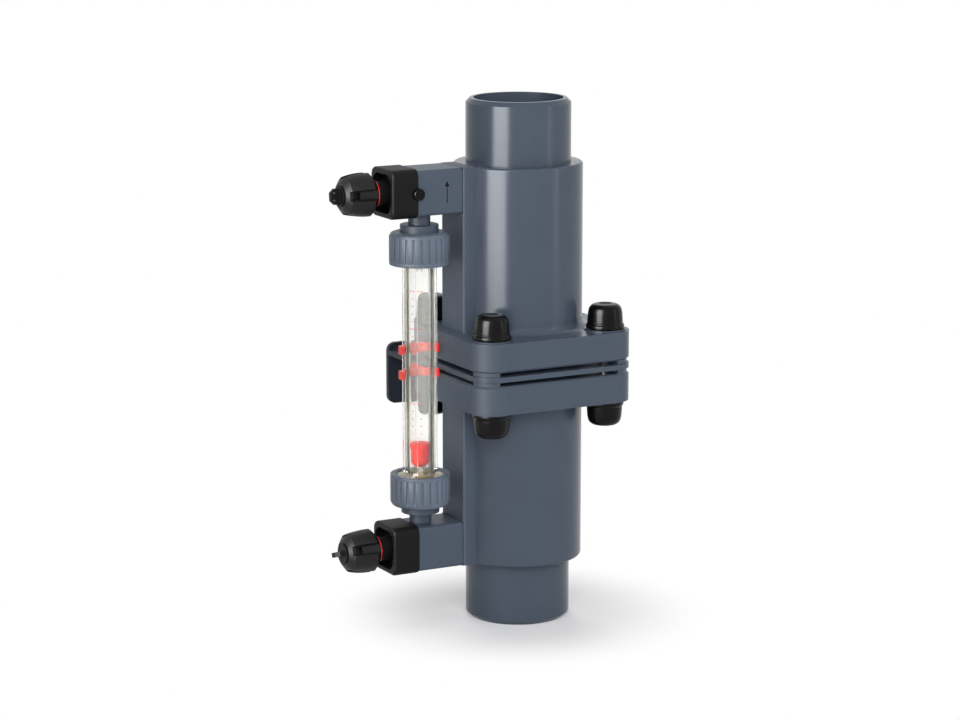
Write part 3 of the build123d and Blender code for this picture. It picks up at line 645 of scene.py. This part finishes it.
def round_the_axis():
    """Geometry nodes that repeat the piece round an upright axis."""
    tree, given, made = tree_with("round_the_axis", ("Count", "NodeSocketInt"),
                                  ("Centre", "NodeSocketVector"),
                                  ("Finish", "NodeSocketMaterial"))
    places = node_of(tree, "GeometryNodeMeshLine")
    tree.links.new(given.outputs["Count"], places.inputs["Count"])
    tree.links.new(given.outputs["Centre"], places.inputs["Start Location"])
    places.inputs["Offset"].default_value = (0, 0, 0)
    index = node_of(tree, "GeometryNodeInputIndex")
    share = node_of(tree, "ShaderNodeMath", operation="DIVIDE")
    tree.links.new(index.outputs[0], share.inputs[0])
    tree.links.new(given.outputs["Count"], share.inputs[1])
    turn = node_of(tree, "ShaderNodeMath", operation="MULTIPLY")
    tree.links.new(share.outputs[0], turn.inputs[0])
    turn.inputs[1].default_value = 2 * pi
    rotation = node_of(tree, "ShaderNodeCombineXYZ")
    tree.links.new(turn.outputs[0], rotation.inputs["Z"])
    each = copies_at(places, tree, given, made)
    tree.links.new(rotation.outputs[0], each.inputs["Rotation"])
    return tree


union_pvc = moulded("pvc_union", (0.115, 0.142, 0.186), roughness=0.46, mottle=0.18, grain=1300,
                    depth=0.6, gloss=0.18)
around = round_the_axis()
tube_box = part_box("metering_tube")
tube_axis = Vector(((tube_box[0][0] + tube_box[1][0]) / 2, 0, 0))
rib_half = pi * NUT_R / RIB_COUNT - GROOVE / 2
for side in ("lower", "upper"):
    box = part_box(side + "_union_nut")
    foot, sign = (box[0][2], 1) if side == "lower" else (box[1][2], -1)
    length = box[1][2] - box[0][2]
    grip_end = CHAMFER_LENGTH + RIB_LENGTH
    chamfer = [(NUT_FOOT_R, 0), (NUT_FOOT_R + 2.2 * MM, 0.7 * MM), (NUT_R - 0.5 * MM, 1.7 * MM),
               (NUT_R - 0.2 * MM, CHAMFER_LENGTH)]
    outline = [(NUT_NECK_R, 0), *chamfer, (NUT_ROOT_R, CHAMFER_LENGTH + GROOVE_RAMP),
               (NUT_ROOT_R, grip_end - GROOVE_RAMP / 2), (NUT_R, grip_end + GROOVE_RAMP / 2),
               (NUT_R, length), (NUT_THREAD_R, length), (NUT_THREAD_R, NUT_NECK_LENGTH),
               (NUT_NECK_R, NUT_NECK_LENGTH)]
    outline = [(radius, foot + sign * height)
               for radius, height in softened(outline, NUT_ROUND, steps=3)]
    smooth_nut = outline_turned(outline, tube_axis, segments=96)
    rib_low, rib_high = sorted((foot + sign * (CHAMFER_LENGTH - GROOVE_RAMP / 2),
                                foot + sign * (grip_end + GROOVE_RAMP)))
    rib = block_between((NUT_ROOT_R - RIB_ROOT, -rib_half, rib_low),
                        (NUT_R - RIB_BELOW_RINGS, rib_half, rib_high), edge=0.35 * MM)
    ribs = grown(side + "_grip_ribs", rib, around, Count=RIB_COUNT, Centre=tuple(tube_axis),
                 Finish=union_pvc)
    nut = placed(side + "_nut", both(smooth_nut, ribs.data))
    bpy.data.objects.remove(ribs)
    set_up(nut, union_pvc, "meter", "pvc_union", side + "_union_nut")

# Metering tube: injection moulded in clear plastic with a warm tint, which is deeper in the thick
# threaded ends. Each side has a rail with a groove that the markers' lugs run in. The tube's back
# is milky, so that the float and the scale read well against it.
TUBE_R = 8.6 * MM
BORE_LOW, BORE_HIGH = 6.25 * MM, 7.0 * MM
END_R, END_LENGTH = 13.95 * MM, 11.3 * MM
END_LEAD_IN, END_CHAMFER = 0.5 * MM, 0.3 * MM
FOOT_FILLET = 1.5 * MM
STOP_R, STOP_DEPTH = 7.75 * MM, 2.0 * MM
THREAD_RINGS = 5
TUBE_THREAD_START = 0.6 * MM
TUBE_THREAD_PITCH = 2.0 * MM
TUBE_THREAD_DEPTH = 0.8 * MM
RAIL_REACH, RAIL_HALF_WIDTH, RAIL_HALF_LENGTH = 10.5 * MM, 2.5 * MM, 61.5 * MM
RAIL_ROUND = 0.3 * MM
RAIL_GROOVE_HALF, RAIL_GROOVE_DEPTH = 0.8 * MM, 0.8 * MM
GUIDE_ANGLE = radians(230)
GUIDE_HALF_WIDTH, GUIDE_HEIGHT = 0.5 * MM, 0.35 * MM
ARC_STEPS = 30
ENDS_FROM, ENDS_FULLY = 63 * MM, 63.9 * MM
BACK_ANGLE = radians(143)
BACK_THROUGH = 0.90
BACK_CHANGE = 1 * MM
SAME_PLACE = 0.001 * MM


def clear_plastic(name, colour, deep_colour, roughness, ior, through_middle, through_ends):
    """A clear, faintly hazy moulding whose thick ends are deeper in tint and let less through."""
    material = bpy.data.materials.new(name)
    material.use_nodes = True
    tree = material.node_tree
    shader = tree.nodes["Principled BSDF"]
    shader.inputs["Roughness"].default_value = roughness
    shader.inputs["IOR"].default_value = ior
    place = node_of(tree, "ShaderNodeTexCoord")
    axes = node_of(tree, "ShaderNodeSeparateXYZ")
    tree.links.new(place.outputs["Object"], axes.inputs["Vector"])
    height = node_of(tree, "ShaderNodeMath", operation="SUBTRACT")
    tree.links.new(axes.outputs["Z"], height.inputs[0])
    height.inputs[1].default_value = middle.z
    away = node_of(tree, "ShaderNodeMath", operation="ABSOLUTE")
    tree.links.new(height.outputs[0], away.inputs[0])
    depth = node_of(tree, "ShaderNodeMapRange")
    depth.inputs["From Min"].default_value = ENDS_FROM
    depth.inputs["From Max"].default_value = ENDS_FULLY
    tree.links.new(away.outputs[0], depth.inputs["Value"])
    tint = node_of(tree, "ShaderNodeValToRGB")
    tint.color_ramp.elements[0].color = colour + (1,)
    tint.color_ramp.elements[1].color = deep_colour + (1,)
    tree.links.new(depth.outputs["Result"], tint.inputs["Fac"])
    tree.links.new(tint.outputs["Color"], shader.inputs["Base Color"])
    through = node_of(tree, "ShaderNodeMapRange")
    through.inputs["To Min"].default_value = through_middle
    through.inputs["To Max"].default_value = through_ends
    tree.links.new(depth.outputs["Result"], through.inputs["Value"])
    tree.links.new(through.outputs["Result"], shader.inputs["Transmission Weight"])
    return material


def railed_section():
    """The tube's section as (angle, radius) pairs from +X: two grooved rails and a guide rib."""
    base = asin(RAIL_HALF_WIDTH / TUBE_R)
    side = [(RAIL_REACH - RAIL_GROOVE_DEPTH, RAIL_GROOVE_HALF), (RAIL_REACH, RAIL_GROOVE_HALF),
            (RAIL_REACH, RAIL_HALF_WIDTH - RAIL_ROUND), (RAIL_REACH - RAIL_ROUND, RAIL_HALF_WIDTH)]
    rail = [(atan(y / x), sqrt(x * x + y * y)) for x, y in side] + [(base, TUBE_R)]
    rail = [(-angle, radius) for angle, radius in rail[::-1]] + rail
    guide = GUIDE_HALF_WIDTH / TUBE_R
    section = []
    for start in (0, pi):
        section += [(start + angle, radius) for angle, radius in rail]
        arc = [start + base + (pi - 2 * base) * step / ARC_STEPS for step in range(1, ARC_STEPS)]
        if start < GUIDE_ANGLE - base < start + pi:
            arc = [angle for angle in arc if abs(angle - GUIDE_ANGLE) > 1.5 * guide]
            section += [(angle, TUBE_R) for angle in arc if angle < GUIDE_ANGLE]
            section += [(GUIDE_ANGLE + share * guide, TUBE_R + height)
                        for share, height in ((-1.3, 0), (-0.8, GUIDE_HEIGHT), (0.8, GUIDE_HEIGHT),
                                              (1.3, 0))]
            section += [(angle, TUBE_R) for angle in arc if angle > GUIDE_ANGLE]
        else:
            section += [(angle, TUBE_R) for angle in arc]
    return section


def moulded_tube(stations, section):
    """A closed tube through stations of (height, radius), or of the section's own radii."""
    vertices = []
    for height, radius in stations:
        for angle, own_radius in section:
            reach = radius or own_radius
            vertices.append(tube_axis + Vector((reach * cos(angle), reach * sin(angle), height)))
    count = len(section)
    faces = []
    for station in range(len(stations)):
        low = station * count
        high = (station + 1) % len(stations) * count
        for step in range(count):
            after = (step + 1) % count
            faces.append((low + step, low + after, high + after, high + step))
    mesh = bpy.data.meshes.new("tube")
    mesh.from_pydata(vertices, [], faces)
    work = bmesh.new()
    work.from_mesh(mesh)
    bmesh.ops.remove_doubles(work, verts=work.verts, dist=SAME_PLACE)
    bmesh.ops.recalc_face_normals(work, faces=work.faces)
    if work.calc_volume(signed=True) < 0:
        bmesh.ops.reverse_faces(work, faces=work.faces)
    work.to_mesh(mesh)
    work.free()
    return smooth_to_creases(mesh, sharp=25)


clear = clear_plastic("clear_plastic", (0.995, 0.998, 1.0), (0.30, 0.22, 0.08), roughness=0.015,
                      ior=1.42, through_middle=0.985, through_ends=0.35)
tree = clear.node_tree
inside = node_of(tree, "ShaderNodeVolumeAbsorption")
inside.inputs["Color"].default_value = (0.76, 0.75, 0.60, 1)
inside.inputs["Density"].default_value = 80
tree.links.new(inside.outputs["Volume"], tree.nodes["Material Output"].inputs["Volume"])
from_axis = node_of(tree, "ShaderNodeVectorMath", operation="SUBTRACT")
tree.links.new(node_of(tree, "ShaderNodeTexCoord").outputs["Object"], from_axis.inputs[0])
from_axis.inputs[1].default_value = tube_axis
to_back = node_of(tree, "ShaderNodeVectorMath", operation="DOT_PRODUCT")
tree.links.new(from_axis.outputs["Vector"], to_back.inputs[0])
to_back.inputs[1].default_value = (sin(BACK_ANGLE), -cos(BACK_ANGLE), 0)
milky = node_of(tree, "ShaderNodeMapRange")
milky.inputs["From Min"].default_value = -BACK_CHANGE
milky.inputs["From Max"].default_value = BACK_CHANGE
milky.inputs["To Min"].default_value = 1.0
milky.inputs["To Max"].default_value = BACK_THROUGH
tree.links.new(to_back.outputs["Value"], milky.inputs["Value"])
through_back = node_of(tree, "ShaderNodeMath", operation="MULTIPLY")
weight = tree.nodes["Principled BSDF"].inputs["Transmission Weight"]
tree.links.new(weight.links[0].from_socket, through_back.inputs[0])
tree.links.new(milky.outputs["Result"], through_back.inputs[1])
tree.links.new(through_back.outputs[0], weight)
tube_low, tube_high = tube_box[0][2], tube_box[1][2]
end_profile = [(0, END_R - END_LEAD_IN)]
for ring in range(THREAD_RINGS):
    height = TUBE_THREAD_START + ring * TUBE_THREAD_PITCH
    end_profile += [(height, END_R - TUBE_THREAD_DEPTH), (height + 0.3 * TUBE_THREAD_PITCH, END_R),
                    (height + 0.45 * TUBE_THREAD_PITCH, END_R),
                    (height + 0.75 * TUBE_THREAD_PITCH, END_R - TUBE_THREAD_DEPTH)]
end_profile += [(END_LENGTH - END_CHAMFER, END_R), (END_LENGTH, END_R - END_CHAMFER),
                (END_LENGTH, TUBE_R + FOOT_FILLET),
                (END_LENGTH + 0.3 * FOOT_FILLET, TUBE_R + 0.3 * FOOT_FILLET),
                (END_LENGTH + FOOT_FILLET, TUBE_R)]
stations = [(tube_low + height, radius) for height, radius in end_profile]
stations += [(middle.z - RAIL_HALF_LENGTH, TUBE_R), (middle.z - RAIL_HALF_LENGTH, None),
             (middle.z + RAIL_HALF_LENGTH, None), (middle.z + RAIL_HALF_LENGTH, TUBE_R)]
stations += [(tube_high - height, radius) for height, radius in end_profile[::-1]]
stations += [(tube_high, STOP_R), (tube_high - STOP_DEPTH, STOP_R),
             (tube_high - STOP_DEPTH, BORE_HIGH), (tube_low + STOP_DEPTH, BORE_LOW),
             (tube_low + STOP_DEPTH, STOP_R), (tube_low, STOP_R)]
tube = placed("clear_tube", moulded_tube(stations, railed_section()))
set_up(tube, clear, "meter", "clear_plastic", "metering_tube")
stop_clear = clear_plastic("stop_clear", (0.95, 0.94, 0.90), (0.6, 0.5, 0.3), roughness=0.05,
                           ior=1.36, through_middle=0.8, through_ends=0.6)
for node in ("lower_float_stop", "upper_float_stop"):
    eased_node(node, edge=0.15 * MM, material=stop_clear, slot="clear_plastic")

# Scale: printed on the tube's front in red ink that lies just proud of the plastic, as two columns
# of strokes with figures beside the long ones.
SCALE_LOW = -42.3 * MM
SCALE_STEP = 22.6 * MM
SCALE_NUMBERS = 5
STROKES_A_STEP = 5
LONG_STROKE, SHORT_STROKE = 2.0 * MM, 1.2 * MM
STROKE_HALF_WIDTH = 0.2 * MM
FIGURE_SIZE = 2.4 * MM
FIGURE_GAP = 0.4 * MM
COLUMNS = (radians(-60), radians(-26))


def wrapped(mesh, angle, height):
    """A flat mesh wrapped round the tube, its origin at an angle from -Y and a height."""
    for vertex in mesh.vertices:
        turn = angle + vertex.co.x / TUBE_R
        radius = TUBE_R + vertex.co.z
        vertex.co = tube_axis + Vector((radius * sin(turn), -radius * cos(turn),
                                        height + vertex.co.y))
    return mesh


def stroke(length, angle, height):
    """A printed stroke round the tube."""
    flat = block_between((0, -STROKE_HALF_WIDTH, -INK_PROUD),
                         (length, STROKE_HALF_WIDTH, INK_PROUD), edge=0.01 * MM, steps=1)
    return wrapped(flat, angle, height)


def figure(text, size, angle, height):
    """Printed figures on the tube."""
    curve = bpy.data.curves.new("figure", "FONT")
    curve.body = text
    curve.size = size
    curve.align_x = "RIGHT"
    curve.align_y = "CENTER"
    curve.extrude = INK_PROUD
    item = placed("figure", curve)
    graph = bpy.context.evaluated_depsgraph_get()
    mesh = bpy.data.meshes.new_from_object(item.evaluated_get(graph), depsgraph=graph)
    bpy.data.objects.remove(item)
    work = bmesh.new()
    work.from_mesh(mesh)
    bmesh.ops.remove_doubles(work, verts=work.verts, dist=SAME_PLACE)
    work.to_mesh(mesh)
    work.free()
    return wrapped(mesh, angle, height)


ink = moulded("scale_red", (0.50, 0.012, 0.012), roughness=0.45, mottle=0.02, grain=900, depth=0.0)
scale_pieces = []
for column in COLUMNS:
    for step in range((SCALE_NUMBERS - 1) * STROKES_A_STEP + 1):
        height = middle.z + SCALE_LOW + step * SCALE_STEP / STROKES_A_STEP
        whole = step % STROKES_A_STEP == 0
        scale_pieces.append(stroke(LONG_STROKE if whole else SHORT_STROKE, column, height))
        if whole:
            number = str(1 + step // STROKES_A_STEP)
            scale_pieces.append(figure(number, FIGURE_SIZE, column - FIGURE_GAP / TUBE_R, height))
set_up(placed("tube_scale", both(*scale_pieces)), ink, "meter", "red_plastic")

# Float: turned from red plastic, with a sharp reading edge round its head and a blunt nose. It is
# held by nothing but the flow, and rises with it.
HEAD_HEIGHT, FLOAT_BODY_R, NOSE_R, NOSE_HEIGHT = 3.4 * MM, 5.5 * MM, 3.5 * MM, 2.2 * MM
float_red = moulded("float_red", (0.44, 0.010, 0.008), roughness=0.35, mottle=0.04, grain=900,
                    depth=0.05, gloss=0.12)
low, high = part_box("float")
head_r = (high[0] - low[0]) / 2
outline = [(0, low[2]), (NOSE_R, low[2]), (FLOAT_BODY_R, low[2] + NOSE_HEIGHT),
           (FLOAT_BODY_R, high[2] - HEAD_HEIGHT), (head_r, high[2] - HEAD_HEIGHT),
           (head_r, high[2]), (0, high[2])]
turned = outline_turned(softened(outline, radius=0.2 * MM, steps=2), tube_axis, segments=96)
set_up(placed("turned_float", turned), float_red, "float", "float_red", "float")

# Set-point markers: clips moulded in red plastic. They hook into the grooves of both rails, and
# slide along the tube by hand.
red = moulded("red_plastic", (0.80, 0.026, 0.014), roughness=0.30, mottle=0.05, grain=900,
              depth=0.06, gloss=0.4)
for node in ("upper_marker", "lower_marker"):
    eased_node(node, edge=0.3 * MM, material=red, slot="red_plastic", body=node)

# Bonnets: glass-filled black covers bolted to the valve blocks, each with a deep pocket round the
# neck. A red ring on the neck's end shows when the valve is open. A peg locks the upper seam.
grained_black = moulded("grained_black", (0.0050, 0.0047, 0.0050), roughness=0.50, mottle=0.12,
                        grain=1300, depth=0.35, gloss=0.12)
for node in ("lower_bonnet", "upper_bonnet"):
    eased_node(node, edge=0.55 * MM, material=grained_black, slot="black_plastic")
eased_node("upper_lock_peg", edge=0.25 * MM, material=black, slot="black_plastic")
ring_red = moulded("ring_red", (0.80, 0.014, 0.006), roughness=0.35, mottle=0.03, grain=900,
                   depth=0.1)
for node in ("lower_indicator_ring", "upper_indicator_ring"):
    eased_node(node, edge=0.15 * MM, material=ring_red, slot="red_plastic")
for node in ("lower_compressor", "upper_compressor"):
    coated(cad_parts[node], black)

# Diaphragms: moulded elastomer, domed towards the compressor. The bonnet clamps the rim. In the
# valve the dome turns inside out towards the seat as the compressor moves; here it stays still.
RIM_R, RIM_INNER_R, RIM_THICKNESS = 12.0 * MM, 10.3 * MM, 1.6 * MM
DOME_R, WEB_FOOT, WEB_THICKNESS = 7.6 * MM, 0.1 * MM, 0.3 * MM
DOME_FRONT, DOME_BACK = 1.3 * MM, 2.4 * MM
rim_outline = [(RIM_INNER_R, 0), (RIM_R, 0), (RIM_R, RIM_THICKNESS), (RIM_INNER_R, RIM_THICKNESS)]
dome_outline = [(0, DOME_FRONT), (DOME_R, DOME_FRONT), (RIM_INNER_R, WEB_FOOT),
                (RIM_INNER_R, WEB_FOOT + WEB_THICKNESS), (DOME_R, DOME_FRONT + WEB_THICKNESS),
                (DOME_R, DOME_BACK), (0, DOME_BACK)]


def along_the_stem(outline, seat):
    """A mesh turned about the valve's stem. The outline's heights run from the seat to -X."""
    mesh = outline_turned(softened(outline, radius=0.15 * MM, steps=2), Vector())
    mesh.transform(Matrix.Translation(seat) @ Matrix.Rotation(radians(-90), 4, "Y"))
    return mesh


for side in ("lower", "upper"):
    node = side + "_diaphragm"
    low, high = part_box(node)
    seat = Vector((high[0], (low[1] + high[1]) / 2, (low[2] + high[2]) / 2))
    rim = placed(node + "_rim", along_the_stem(rim_outline, seat))
    set_up(rim, rubber, "meter", "seal_rubber", node)
    dome = placed(node + "_dome", along_the_stem(dome_outline, seat))
    coated(dome, rubber)
    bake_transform(dome)

# Knobs: four-lobed hand knobs with a fluted grip, moulded in black plastic and fixed to the
# spindles. A round cover with a fin closes the end of each.
knob_black = moulded("knob_black", (0.0062, 0.0060, 0.0064), roughness=0.42, mottle=0.12,
                     grain=1300, depth=0.35, gloss=0.22)
for side in ("lower", "upper"):
    eased_node(side + "_knob", edge=0.3 * MM, material=knob_black, slot="black_plastic",
               body=side + "_handwheel", sharp=28)
    eased_node(side + "_knob_cap", edge=0.25 * MM, material=grained_black, slot="black_plastic",
               body=side + "_handwheel")
